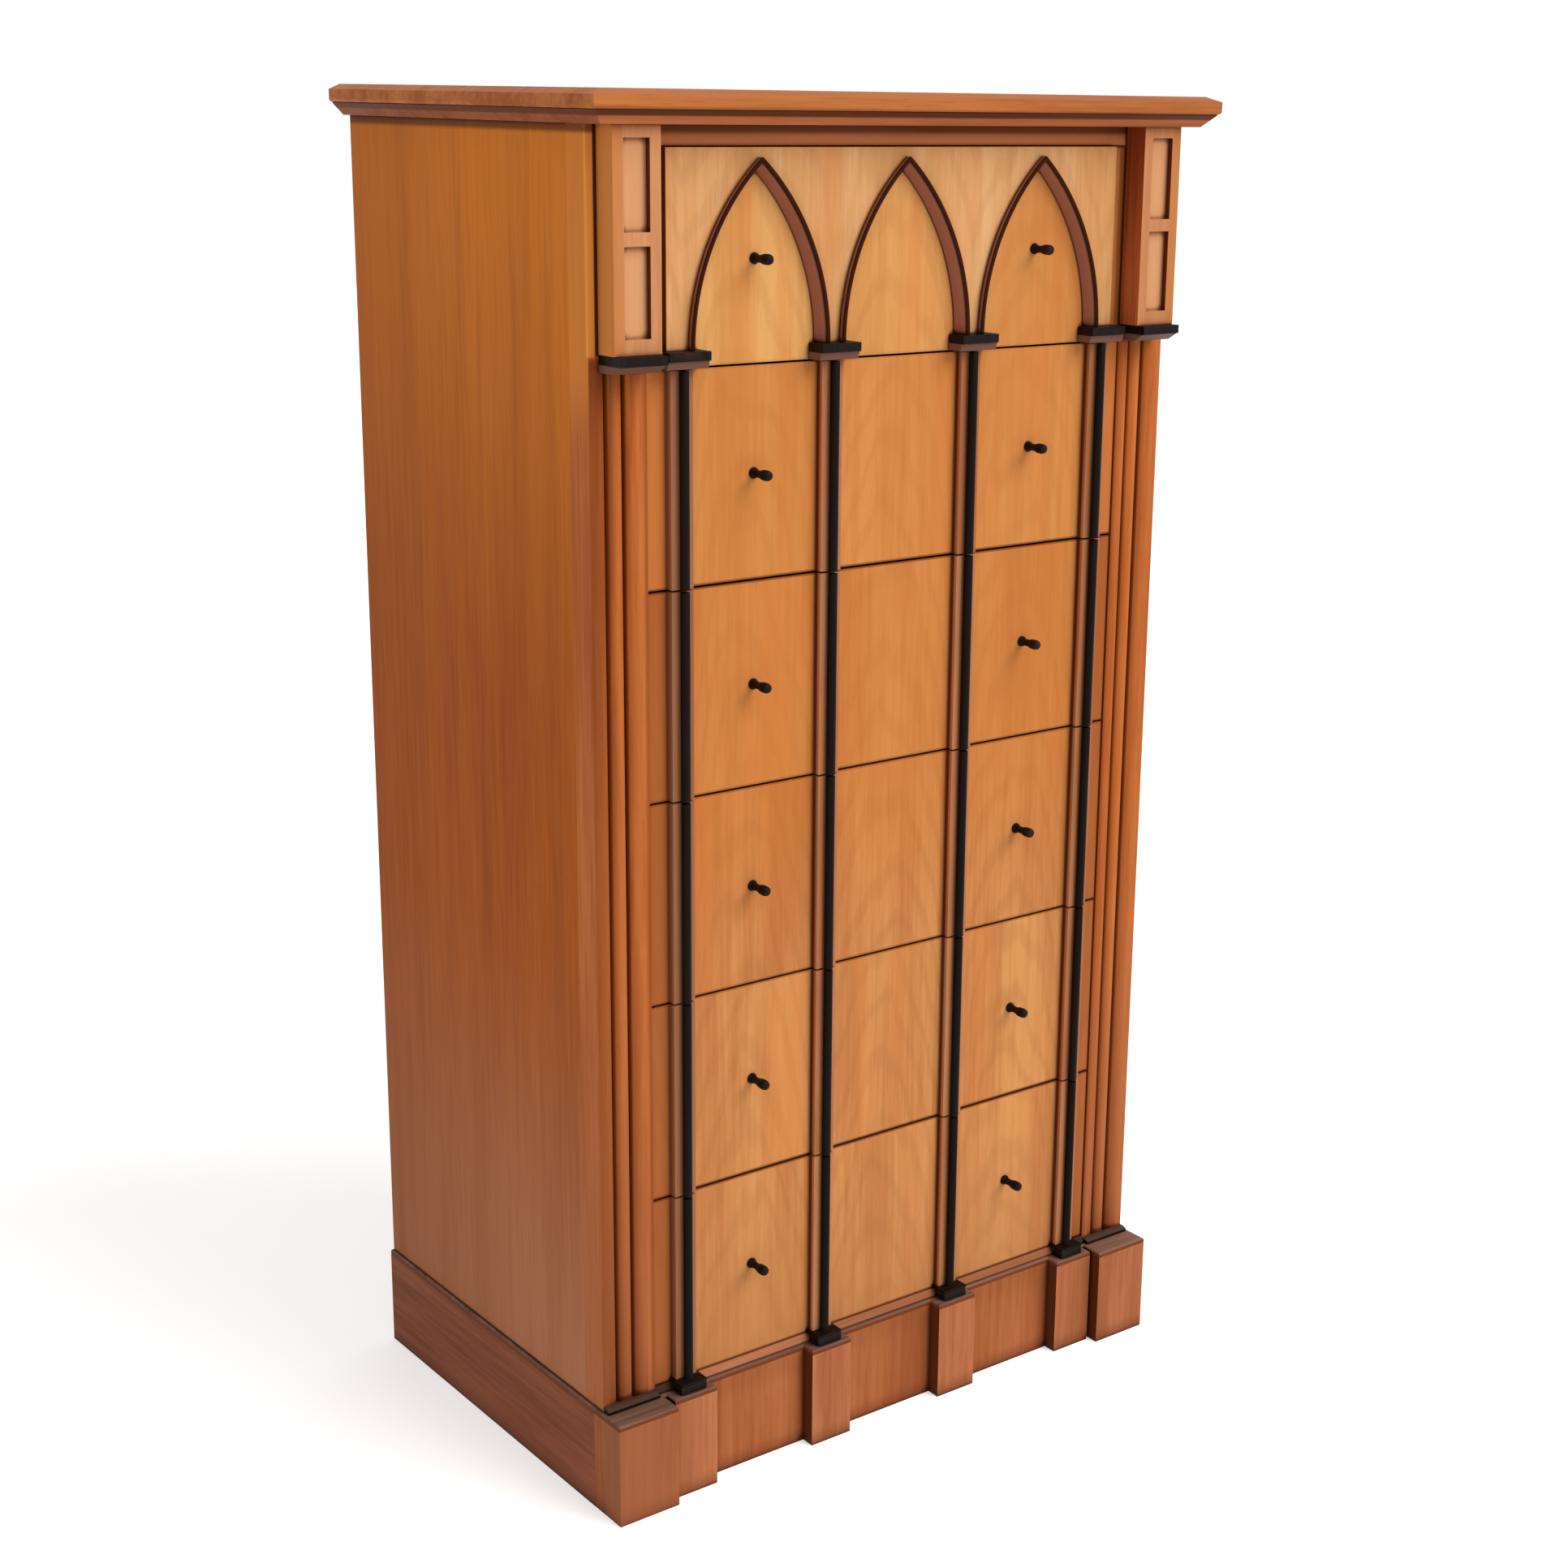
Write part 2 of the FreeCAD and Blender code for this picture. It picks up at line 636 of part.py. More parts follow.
def make_arches():
    """Spandrel plate with three pointed openings, and the rib that lines each of them.

    Each leg of an arch turns about a centre beyond the other leg, at the height of the capitals.
    """
    half = f"({SPACING} / 2 - arch_leg_gap)"
    rise = f"({FRIEZE_FOOT} - arch_headroom - {CAPITAL_TOP})"
    centre = f"(({rise} * {rise} - {half} * {half}) / (2 * {half}))"
    opening = f"({half} - arch_ridge)"
    point = f"sqrt({opening} * ({opening} + 2 * {centre}))"
    arches_length = f"{ARCHES - 1} * {SPACING}"

    plate = new_body("drawer_1_spandrels")
    plate_half = f"({FRONT_HALF} - spandrel_inset)"
    plate_top = f"{FRIEZE_FOOT} - drawer_gap / 2 - {CAPITAL_TOP}"
    across = (f"{SPACING} - {plate_half}", f"{SPACING} + {plate_half}")
    slab = pad(plate, rectangle(plate, "XZ_Plane", across, ("0", plate_top)), "spandrel_thick")
    arch = profile(plate, "XZ_Plane", [
        (f"-{opening}", "0"),
        (opening, "0", f"-{centre}", "0", 1),
        ("0", point, centre, "0", 1),
    ], "opening")
    pierced = plate.newObject("PartDesign::Pocket", "arch_opening")
    pierced.Profile = arch
    pierced.Reversed = True
    pierced.setExpression("Length", formula("spandrel_thick"))
    doc.recompute()
    if pierced.Shape.Volume >= slab.Shape.Volume:
        raise RuntimeError("the arch opening took nothing away")
    row(plate, [pierced], ARCHES, arches_length)
    place(plate, f"-{SPACING}", FACE, CAPITAL_TOP)
    keep(plate, "drawer_1_spandrels")

    ridge = "-spandrel_thick - arch_proud"
    body = new_body("drawer_1_arches")
    sketch = profile(body, "XY_Plane", [
        (f"{half} - arch_width", "0"),
        (f"{half} - arch_width", "-arch_lip"),
        (opening, ridge),
        (half, ridge),
        (half, "-spandrel_thick"),
        (opening, "-spandrel_thick"),
        (opening, "0"),
    ])
    reach = number(centre)
    axis = Part.LineSegment(FreeCAD.Vector(-reach, 0, 0), FreeCAD.Vector(-reach, 1, 0))
    line = sketch.addGeometry(axis, True)
    for end, up in ((1, "0"), (2, "1")):
        bind(sketch, "DistanceX", line, end, f"-{centre}")
        bind(sketch, "DistanceY", line, end, up)
    leg = body.newObject("PartDesign::Revolution", "arch_leg")
    leg.Profile = sketch
    leg.ReferenceAxis = (sketch, ["Axis0"])
    leg.Reversed = True
    leg.setExpression("Angle", formula(f"acos({centre} / ({centre} + {half}))"))
    doc.recompute()
    beyond = rectangle(body, "XZ_Plane", (f"-{half}", "0"), ("0", f"{rise} + arch_width"), "beyond")
    trim = body.newObject("PartDesign::Pocket", "arch_mitre")
    trim.Profile = beyond
    trim.Reversed = True
    trim.setExpression("Length", formula("spandrel_thick + arch_proud + arch_lip"))
    doc.recompute()
    if trim.Shape.Volume >= leg.Shape.Volume:
        raise RuntimeError("the mitre at the arch's point took nothing away")
    both = body.newObject("PartDesign::Mirrored", "arch_legs")
    both.TransformMode = "Whole shape"
    both.MirrorPlane = (origin_feature(body, "YZ_Plane"), [""])
    body.Tip = both
    doc.recompute()
    row(body, None, ARCHES, arches_length)
    place(body, f"-{SPACING}", FACE, CAPITAL_TOP)
    keep(body, "drawer_1_arches")


make_top()
make_cornice()
make_case()
make_posts()
make_frieze_blocks()
make_pilaster_trim()
make_plinth()
for drawer_number in range(1, DRAWERS + 1):
    make_drawer(drawer_number)
for drawer_number in range(2, DRAWERS + 1):
    make_colonnettes(drawer_number)
make_colonnette_capitals()
make_arches()

doc.recompute()
for item in doc.Objects:
    if "Invalid" in item.State or "Error" in item.State:
        raise RuntimeError(f"{item.Name} did not build")
for name, item in parts.items():
    if item.Shape.isNull() or not item.Shape.isValid():
        raise RuntimeError(f"{name} has no sound shape")
os.makedirs("parts", exist_ok=True)
for name, item in parts.items():
    item.Shape.exportStep(f"parts/{name}.step")
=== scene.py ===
import math

import bmesh
import bpy
from mathutils import Matrix, Vector


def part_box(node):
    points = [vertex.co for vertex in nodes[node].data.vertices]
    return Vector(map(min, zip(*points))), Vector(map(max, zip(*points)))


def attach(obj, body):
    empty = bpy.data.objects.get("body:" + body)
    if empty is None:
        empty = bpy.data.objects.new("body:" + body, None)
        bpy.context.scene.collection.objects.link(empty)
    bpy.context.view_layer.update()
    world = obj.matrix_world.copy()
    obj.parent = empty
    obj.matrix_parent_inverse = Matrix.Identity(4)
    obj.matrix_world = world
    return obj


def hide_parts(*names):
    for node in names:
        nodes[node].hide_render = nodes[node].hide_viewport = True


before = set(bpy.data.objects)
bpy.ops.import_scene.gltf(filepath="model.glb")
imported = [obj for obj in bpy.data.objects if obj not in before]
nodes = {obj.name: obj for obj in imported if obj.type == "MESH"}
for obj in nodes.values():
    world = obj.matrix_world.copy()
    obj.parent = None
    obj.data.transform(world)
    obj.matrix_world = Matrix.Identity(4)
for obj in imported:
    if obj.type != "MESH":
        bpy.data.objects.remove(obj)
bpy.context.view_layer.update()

# Tall chest of drawers in honey-coloured wood with black mouldings, on a white studio floor. Metres.

DRAWERS = range(1, 7)

# Places taken from the frame
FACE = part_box("drawer_2_front")[0].y
TOP_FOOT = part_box("top_board")[0].z
CASE_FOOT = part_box("side_panel_left")[0].z
CASE_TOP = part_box("side_panel_left")[1].z
CASE_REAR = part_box("side_panel_left")[1].y
CASE_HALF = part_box("side_panel_right")[1].x
CAPITAL_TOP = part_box("pilaster_capitals")[1].z
BLOCK_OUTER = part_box("frieze_blocks")[1].x
BLOCK_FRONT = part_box("frieze_blocks")[0].y
POST_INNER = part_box("corner_post_right")[0].x
POST_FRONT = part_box("corner_post_right")[0].y
RAIL_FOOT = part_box("frieze_rail")[0].z
DRAWER_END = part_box("drawer_1_front")[1].x
LOWEST_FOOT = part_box("drawer_6_colonnettes")[0].z
PLINTH_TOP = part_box("plinth_front")[1].z

# Sizes of the pieces that the finishes follow
STRIP_WIDTH = 0.024
STRIP_THICK = 0.008
FOOT_HEIGHT = 0.003
ARCH_RIDGE = 0.0135
QUIRK_HEIGHT = 0.0055
CAPITAL_SLAB = 0.0085
OUTER_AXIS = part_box("drawer_2_colonnettes")[1].x - STRIP_WIDTH / 2
SPACING = 2 * OUTER_AXIS / 3

# Where the tone changes: greyer low down, golden high up, and painted shade darker to the rear and at the
# left corner
GREY_BELOW = 0.62
GOLD_FROM = 0.5
GOLD_ABOVE = 0.75
REAR_SHADE = -0.1
SHADED_REED = -0.3

# Borders between two tones
SHARP = 0.001
SOFT = 0.002

# How far from an inner corner the dark polish and painted shade reach
FINE_CORNER = 0.004
SMALL_CORNER = 0.006
CORNER = 0.008
PLINTH_CORNER = 0.01
CAP_CORNER = 0.012

# How far lines, shades and light edges reach from the piece that they follow
CORNICE_SHADE = 0.01
CAPITAL_SHADE = 0.01
CAPITAL_GLOW = 0.1
POST_EDGE = 0.001
POST_EDGE_FADE = 0.005
BLOCK_SHADOW = 0.0025
BLOCK_FLANK = 0.004
BLOCK_STILE = 0.009
PANEL_SINK = 0.003
RAIL_GLOW = 0.012
SILL_END = 0.01
CAP_SHADE = 0.035
CAP_SHADE_FULL = 0.005
PLINTH_CORNER_SHADE = 0.07
PLINTH_FLANK = 0.01
ARCH_WALL = 0.003
RIDGE_LINE = 0.0006
JOINT_LINE = 0.0006
END_LINE = 0.008
STRIP_LINE = 0.003
COLUMN_BORDER = 0.0006

# How dark the joint above the first drawer is drawn, then the joint below each drawer
JOINT_DEPTHS = (0.8, 0.2, 0.8, 0.5, 0.5, 0.8, 0.8)

# Grain of the wood: how many patches, lines and pores a metre holds across the grain, and their shares
GRAIN_DRAW = 0.045
GRAIN_STRETCH = {"X": (GRAIN_DRAW, 1, 1), "Y": (1, GRAIN_DRAW, 1), "Z": (1, 1, GRAIN_DRAW)}
SHIFT_SHARES = (1, 0.7, 0.3)
FIGURE_SCALE = 16
LINE_SCALE = 150
PORE_SCALE = 800
FIGURE_SHARE = 0.6
LINE_SHARE = 0.4
PORE_SHARE = 0.35
PORE_DEPTH = 0.0004
DULLED = 0.72
BARE_GLOSS = 0.1

# Shifts that give each drawer its own grain
VENEER_SHIFT = 0.3
VENEER_STEP = 0.17
STRIP_SHIFT = 40

# Growth rings of the drawer fronts
RING_STRENGTH = 0.2
RING_GAP = 0.007
RING_TILT = 0.1
RING_LEAN = 0.4
RING_WANDER = 3 * RING_GAP
RING_WANDER_SCALE = 14

# Black polish
BLACK_LINE_SCALE = 220
RUB_SCALE = 35
BLACK_GLOSS = 0.1
BRUSH_DEPTH = 0.0003

# Rounded arrises
ARRIS_WIDTH = 0.0006
ARRIS_ANGLE = math.radians(40)
WELD_REACH = 0.00002

# Half outline of a knob: radius and distance from the drawer front, in millimetres
KNOB_OUTLINE = [(0, 0), (5.2, 0), (5.2, 1.6), (4.6, 2.6), (3.8, 4.0), (3.5, 8.0), (3.7, 12.0), (4.6, 14.6),
                (5.0, 17.4), (5.0, 22.2), (4.3, 24.6), (2.5, 25.8), (0, 26.0)]
MILLIMETRES_PER_METRE = 1000
KNOB_STEPS = 28
KNOB_MERGE = 0.00001

# Camera, fitted to the photograph's frame
FRAME_PIXELS = 1932
FOCAL_PIXELS = 3044.7
CAMERA_PLACE = Vector((-1.4877, -2.0537, 1.3587))
CAMERA_TURN = math.radians(37.976)
CAMERA_TILT = math.radians(-15.388)
CAMERA_ROLL = math.radians(0.874)
FRAME_CENTRE = (1063.6, 952.7)

# Studio light and floor
WHITE = (1, 1, 1, 1)
SKY_LEVEL = 0.55
SEEN_SKY_LEVEL = 1.0
SUN_LEVEL = 1.9
SUN_FROM = Vector((0.5, -0.8, 0.85))
SUN_SPREAD = math.radians(40)
FLOOR_HALF = 14.0
FLOOR_COLOUR = (0.9, 0.9, 0.9, 1)
FLOOR_ROUGHNESS = 0.9
FLOOR_GLOW = 0.48


def tone(red, green, blue):
    """Linear colour of a tone named in steps of 0 to 255."""
    shares = [step / 255 for step in (red, green, blue)]
    linear = [share / 12.92 if share <= 0.04045 else ((share + 0.055) / 1.055) ** 2.4 for share in shares]
    return (*linear, 1.0)


# Tones of shades and dark lines
# Dark polish in inner corners and grooves, partly painted shade
GLAZE_AND_SHADE = tone(70, 26, 8)
# Dark polish and painted shade on left-facing flanks
FLANK_GLAZE_AND_SHADE = tone(78, 36, 16)
JOINT = tone(112, 54, 20)
# Near-black for the black parts, also painted shade in the cap's corners
BLACK_AND_SHADE = tone(24, 16, 12)
# Painted shadow under the cornice
CORNICE_SHADOW_TONE = tone(62, 22, 2)
# Dark line along the arch ridges, also painted shade where the arches meet the drawer
EDGE_LINE_AND_SHADE = tone(40, 15, 6)
SIDE_FIGURE = tone(136, 66, 24)
FLOOR_SHADE = tone(92, 44, 28)

# Light and dark tone of the drawer fronts
PLAIN_VENEER = (tone(220, 153, 91), tone(194, 122, 67))
OTHER_VENEERS = {
    1: (tone(232, 174, 106), tone(212, 146, 80)),
    2: (tone(226, 164, 100), tone(202, 132, 74)),
    4: (tone(216, 147, 87), tone(190, 116, 63)),
}
PLAIN_END = tone(158, 80, 36)
OTHER_ENDS = {2: tone(196, 108, 52)}


# Node helpers

def add(tree, kind, inputs=None, **settings):
    """New node with its settings, and its inputs set or linked by name."""
    node = tree.nodes.new(kind)
    for name, value in settings.items():
        setattr(node, name, value)
    for name, value in (inputs or {}).items():
        if isinstance(value, bpy.types.NodeSocket):
            tree.links.new(value, node.inputs[name])
        else:
            node.inputs[name].default_value = value
    return node


def calculate(tree, operation, first, second=0.0):
    return add(tree, "ShaderNodeMath", {0: first, 1: second}, operation=operation).outputs[0]


def fade(tree, value, none, full):
    """Mask that climbs from 0 to 1 as a value goes from none to full."""
    settings = {"Value": value, "From Min": none, "From Max": full}
    return add(tree, "ShaderNodeMapRange", settings, interpolation_type="SMOOTHSTEP").outputs[0]


def blend(tree, mask, below, above):
    """Below where the mask is 0, above where it is 1. A colour mix takes its inputs by number."""
    return add(tree, "ShaderNodeMix", {0: mask, 6: below, 7: above}, data_type="RGBA").outputs[2]


def noise(tree, position, scale, stretch, shift, detail=4.0, rough=0.55, twist=0.0):
    """Cloudy pattern, drawn out along the axis where stretch is small."""
    place = add(tree, "ShaderNodeMapping", {"Vector": position, "Location": shift, "Scale": stretch})
    inputs = {"Vector": place.outputs[0], "Scale": scale, "Detail": detail, "Roughness": rough,
              "Distortion": twist}
    return add(tree, "ShaderNodeTexNoise", inputs).outputs[0]


# Masks that an overlay can use: each gives a function of the node tree and the position on the piece

def axis_of(tree, position, axis):
    return add(tree, "ShaderNodeSeparateXYZ", {0: position}).outputs[axis]


def along_axis(axis, none, full):
    """Climbs along one axis of the chest."""
    return lambda tree, position: fade(tree, axis_of(tree, position, axis), none, full)


def aside(none, full):
    """Climbs from the middle of the chest out to both sides."""
    def mask(tree, position):
        return fade(tree, calculate(tree, "ABSOLUTE", axis_of(tree, position, "X")), none, full)
    return mask


def in_corners(reach, none=0.85, full=0.4):
    """Inner corners and grooves, found by occlusion, where dark polish gathers and where painted shade
    darkens them too.
    """
    def mask(tree, position):
        near = add(tree, "ShaderNodeAmbientOcclusion", {"Distance": reach}, samples=16)
        return fade(tree, near.outputs["AO"], none, full)
    return mask


def facing(axis, none, full):
    """Faces turned along one axis."""
    def mask(tree, position):
        normal = add(tree, "ShaderNodeNewGeometry").outputs["Normal"]
        return fade(tree, axis_of(tree, normal, axis), none, full)
    return mask


def streaks(scale, shift, none=0.5, full=0.7):
    """Soft upright streaks."""
    def mask(tree, position):
        return fade(tree, noise(tree, position, scale, GRAIN_STRETCH["Z"], shift), none, full)
    return mask


def both(first, second):
    """Where two masks meet."""
    return lambda tree, position: calculate(tree, "MULTIPLY", first(tree, position), second(tree, position))


def overlay_all(tree, position, colour, overlays):
    """Lay tones over a colour. An overlay is a mask, a tone, and how strongly it covers."""
    for mask, above, strength in overlays:
        share = calculate(tree, "MULTIPLY", mask(tree, position), strength)
        colour = blend(tree, share, colour, above)
    return colour


# Masks and overlays that several finishes share
LEFT_FACES = facing("X", -0.5, -0.9)
GREYED = along_axis("Z", GREY_BELOW, CASE_FOOT)
# Dark polish and painted shade in inner corners
DARK_CORNERS = (in_corners(CORNER), GLAZE_AND_SHADE, 0.9)
# Painted shadow under the cornice, on the sides, posts and rail
BELOW_CORNICE = along_axis("Z", CASE_TOP - CORNICE_SHADE, CASE_TOP - CORNICE_SHADE / 2)
PAINTED_CORNICE_SHADOW = (BELOW_CORNICE, CORNICE_SHADOW_TONE, 0.75)


# Finishes

def growth_rings(tree, position, shift):
    """Pointed rings of a flat-sawn board, stacked up the middle of each field between the colonnettes."""
    spot = add(tree, "ShaderNodeSeparateXYZ", {0: position}).outputs
    across = calculate(tree, "PINGPONG", spot["X"], SPACING / 2)
    height = calculate(tree, "ADD", spot["Z"], calculate(tree, "MULTIPLY", spot["X"], RING_LEAN))
    depth = calculate(tree, "MULTIPLY", calculate(tree, "ADD", height, shift), RING_TILT)
    from_heart = add(tree, "ShaderNodeCombineXYZ", {"X": across, "Y": depth}).outputs[0]
    radius = add(tree, "ShaderNodeVectorMath", {0: from_heart}, operation="LENGTH").outputs["Value"]
    wander = noise(tree, position, RING_WANDER_SCALE, (1, 1, 0.25), (shift, 0, 0), detail=3)
    radius = calculate(tree, "ADD", radius, calculate(tree, "MULTIPLY", wander, RING_WANDER))
    return calculate(tree, "SINE", calculate(tree, "MULTIPLY", radius, math.tau / RING_GAP))


def wood(name, light, dark, along="Z", shift=0.0, roughness=0.48, gloss=0.06, rings=0.0, overlays=()):
    """Polished wood: broad figure, fine grain lines and pores along one axis, then the overlays."""
    finish = bpy.data.materials.new(name)
    finish.use_nodes = True
    tree = finish.node_tree
    shader = tree.nodes["Principled BSDF"]
    position = add(tree, "ShaderNodeTexCoord").outputs["Object"]
    stretch = GRAIN_STRETCH[along]
    place = tuple(shift * share for share in SHIFT_SHARES)
    figure = noise(tree, position, FIGURE_SCALE, stretch, place, detail=3, twist=0.6)
    lines = noise(tree, position, LINE_SCALE, stretch, place, detail=5, rough=0.65)
    pores = noise(tree, position, PORE_SCALE, stretch, place, detail=2)
    drawn = calculate(tree, "ADD", calculate(tree, "MULTIPLY", figure, FIGURE_SHARE),
                      calculate(tree, "MULTIPLY", lines, LINE_SHARE))
    colour = blend(tree, fade(tree, drawn, 0.34, 0.66), dark, light)
    dull = tuple(channel * DULLED for channel in dark[:3]) + (1.0,)
    if rings:
        edge = fade(tree, growth_rings(tree, position, shift), 0.0, 1.0)
        colour = blend(tree, calculate(tree, "MULTIPLY", edge, rings), colour, dull)
    in_pores = calculate(tree, "MULTIPLY", fade(tree, pores, 0.6, 0.75), PORE_SHARE)
    colour = blend(tree, in_pores, colour, dull)
    colour = overlay_all(tree, position, colour, overlays)
    tree.links.new(colour, shader.inputs["Base Color"])
    sheen = {"Value": fade(tree, lines, 0.2, 0.9), "To Min": roughness + 0.08, "To Max": roughness - 0.05}
    tree.links.new(add(tree, "ShaderNodeMapRange", sheen).outputs[0], shader.inputs["Roughness"])
    shader.inputs["Specular IOR Level"].default_value = gloss
    bump = add(tree, "ShaderNodeBump", {"Height": pores, "Strength": 0.12, "Distance": PORE_DEPTH})
    tree.links.new(bump.outputs[0], shader.inputs["Normal"])
    return finish


def ebonised(name, overlays=()):
    """Black polish over wood, rubbed brown in places."""
    finish = bpy.data.materials.new(name)
    finish.use_nodes = True
    tree = finish.node_tree
    shader = tree.nodes["Principled BSDF"]
    position = add(tree, "ShaderNodeTexCoord").outputs["Object"]
    lines = noise(tree, position, BLACK_LINE_SCALE, GRAIN_STRETCH["Z"], (0, 0, 0), detail=4)
    rubbed = noise(tree, position, RUB_SCALE, (1, 1, 1), (3, 1, 2), detail=5)
    colour = blend(tree, fade(tree, lines, 0.3, 0.8), tone(14, 9, 7), tone(28, 19, 15))
    colour = blend(tree, fade(tree, rubbed, 0.56, 0.76), colour, tone(58, 30, 18))
    colour = overlay_all(tree, position, colour, overlays)
    tree.links.new(colour, shader.inputs["Base Color"])
    sheen = add(tree, "ShaderNodeMapRange", {"Value": rubbed, "To Min": 0.4, "To Max": 0.6})
    tree.links.new(sheen.outputs[0], shader.inputs["Roughness"])
    shader.inputs["Specular IOR Level"].default_value = BLACK_GLOSS
    bump = add(tree, "ShaderNodeBump", {"Height": lines, "Strength": 0.15, "Distance": BRUSH_DEPTH})
    tree.links.new(bump.outputs[0], shader.inputs["Normal"])
    return finish


def dress(finish, *names):
    """Give CAD nodes a finish, in every slot they have."""
    for name in names:
        for slot in nodes[name].material_slots:
            slot.material = finish


def soften(*names):
    """Round the arrises of CAD nodes a little, as sanding and polishing leave them."""
    for name in names:
        weld = nodes[name].modifiers.new("weld", "WELD")
        weld.merge_threshold = WELD_REACH
        arris = nodes[name].modifiers.new("arris", "BEVEL")
        arris.width = ARRIS_WIDTH
        arris.segments = 2
        arris.limit_method = "ANGLE"
        arris.angle_limit = ARRIS_ANGLE
        arris.harden_normals = True


# Case

def finish_sides():
    side = wood("side_veneer", tone(188, 95, 16), tone(160, 74, 8), shift=1.3, overlays=[
        (along_axis("Z", GOLD_ABOVE, CASE_TOP), tone(226, 132, 40), 0.75),
        (GREYED, tone(184, 120, 84), 0.95),
        (along_axis("Y", REAR_SHADE, CASE_REAR), tone(146, 70, 14), 0.35),
        (streaks(14, (6, 1, 4), 0.48, 0.66), SIDE_FIGURE, 0.2),
        (streaks(70, (8, 2, 6), 0.5, 0.68), SIDE_FIGURE, 0.18),
        (streaks(240, (1, 6, 2), 0.5, 0.7), SIDE_FIGURE, 0.14),
        DARK_CORNERS,
        PAINTED_CORNICE_SHADOW,
    ])
    dress(side, "side_panel_left", "side_panel_right")


def finish_posts():
    """Posts with painted shade on the left reeds, dark polish and painted shade in the grooves, painted
    light on the front strip beside the frieze block, and a painted shadow line next to the block.
    """
    below_capital = along_axis("Z", CAPITAL_TOP, CAPITAL_TOP - CAPITAL_SHADE)
    near_capital = along_axis("Z", CAPITAL_TOP - CAPITAL_GLOW, CAPITAL_TOP)
    inner_edge = aside(POST_INNER + POST_EDGE + POST_EDGE_FADE, POST_INNER + POST_EDGE)
    off_outer_face = both(below_capital, facing("X", -0.95, -0.6))
    left_reeds = both(off_outer_face, along_axis("X", SHADED_REED, -CASE_HALF))
    in_frieze = along_axis("Z", CAPITAL_TOP - 2 * SOFT, CAPITAL_TOP)
    on_front = along_axis("Y", POST_FRONT + 2 * SOFT, POST_FRONT + SOFT)
    by_block = aside(BLOCK_OUTER + BLOCK_SHADOW + SOFT, BLOCK_OUTER + BLOCK_SHADOW)
    post = wood("post_polish", tone(206, 118, 60), tone(170, 84, 34), shift=2.1, overlays=[
        (streaks(40, (5, 2, 1)), tone(184, 96, 32), 0.5),
        (GREYED, tone(172, 104, 68), 0.6),
        (inner_edge, tone(132, 62, 20), 0.65),
        # Painted shade on the left-hand reeds below the capital
        (left_reeds, tone(104, 48, 18), 0.6),
        (both(LEFT_FACES, near_capital), tone(226, 136, 50), 0.75),
        # Dark polish and painted shade in the grooves below the capital
        (both(below_capital, in_corners(CORNER, full=0.45)), tone(116, 52, 16), 0.85),
        # Painted light on the post's front in the frieze, where the block's shadow falls
        (both(in_frieze, on_front), tone(244, 160, 74), 0.8),
        # Painted shadow line on that strip beside the frieze block
        (both(in_frieze, both(on_front, by_block)), tone(46, 14, 6), 0.95),
        PAINTED_CORNICE_SHADOW,
    ])
    dress(post, "corner_post_left", "corner_post_right")


def finish_frieze_blocks():
    """Blocks with light sunk panels and painted shade on their left-facing walls; the left one's flank is
    golden, the right one's painted dark as shade, lighter downward, and streaked.
    """
    panels = along_axis("Y", BLOCK_FRONT + PANEL_SINK, BLOCK_FRONT + PANEL_SINK + SOFT)
    outer_stiles = aside(BLOCK_OUTER - BLOCK_STILE - 2 * SOFT, BLOCK_OUTER - BLOCK_STILE)
    flank = BLOCK_FLANK - BLOCK_OUTER
    past_outer_flank = along_axis("X", flank, flank + SOFT)
    on_outer_flank = along_axis("X", flank + SOFT, flank)
    on_inner_flank = along_axis("X", POST_INNER + 2 * SOFT, POST_INNER + SOFT)
    right_flank = both(both(LEFT_FACES, along_axis("X", 0, POST_INNER / 2)), on_inner_flank)
    block = wood("frieze_block_polish", tone(216, 151, 104), tone(194, 125, 80), shift=3.4, overlays=[
        (panels, tone(234, 172, 122), 0.55),
        (outer_stiles, tone(198, 120, 56), 0.6),
        (in_corners(CORNER), GLAZE_AND_SHADE, 0.8),
        # Painted shade on left-facing walls past the left block's outer flank
        (both(LEFT_FACES, past_outer_flank), tone(84, 30, 8), 0.95),
        (both(LEFT_FACES, on_outer_flank), tone(210, 128, 48), 0.6),
        # Painted shade on the right block's inner flank, lighter downward, with dark streaks
        (right_flank, tone(150, 66, 32), 0.85),
        (both(right_flank, along_axis("Z", CASE_TOP, CAPITAL_TOP)), tone(216, 118, 62), 0.7),
        (both(right_flank, streaks(60, (1, 4, 2))), tone(70, 24, 8), 0.6),
    ])
    dress(block, "frieze_blocks")


def finish_rails():
    """The rail above the drawers and the sill below them."""
    # Painted light along the lower edge of the rail
    lit_rail_foot = along_axis("Z", RAIL_FOOT + RAIL_GLOW, RAIL_FOOT + RAIL_GLOW / 4)
    on_rail = [
        (lit_rail_foot, tone(232, 152, 100), 0.75),
        (in_corners(SMALL_CORNER), GLAZE_AND_SHADE, 0.5),
        PAINTED_CORNICE_SHADOW,
    ]
    rail = wood("frieze_rail_polish", tone(194, 118, 72), tone(158, 88, 46), along="X", shift=4.2,
                overlays=on_rail)
    dress(rail, "frieze_rail")
    past_outer_feet = aside(OUTER_AXIS + SILL_END, OUTER_AXIS + SILL_END + 3 * SOFT)
    sill = wood("sill_polish", tone(186, 120, 82), tone(150, 88, 54), along="X", shift=4.9, overlays=[
        (along_axis("X", -SPACING, 0), tone(134, 78, 46), 0.5),
        (in_corners(SMALL_CORNER), GLAZE_AND_SHADE, 0.6),
        (past_outer_feet, BLACK_AND_SHADE, 0.9),
    ])
    dress(sill, "sill")


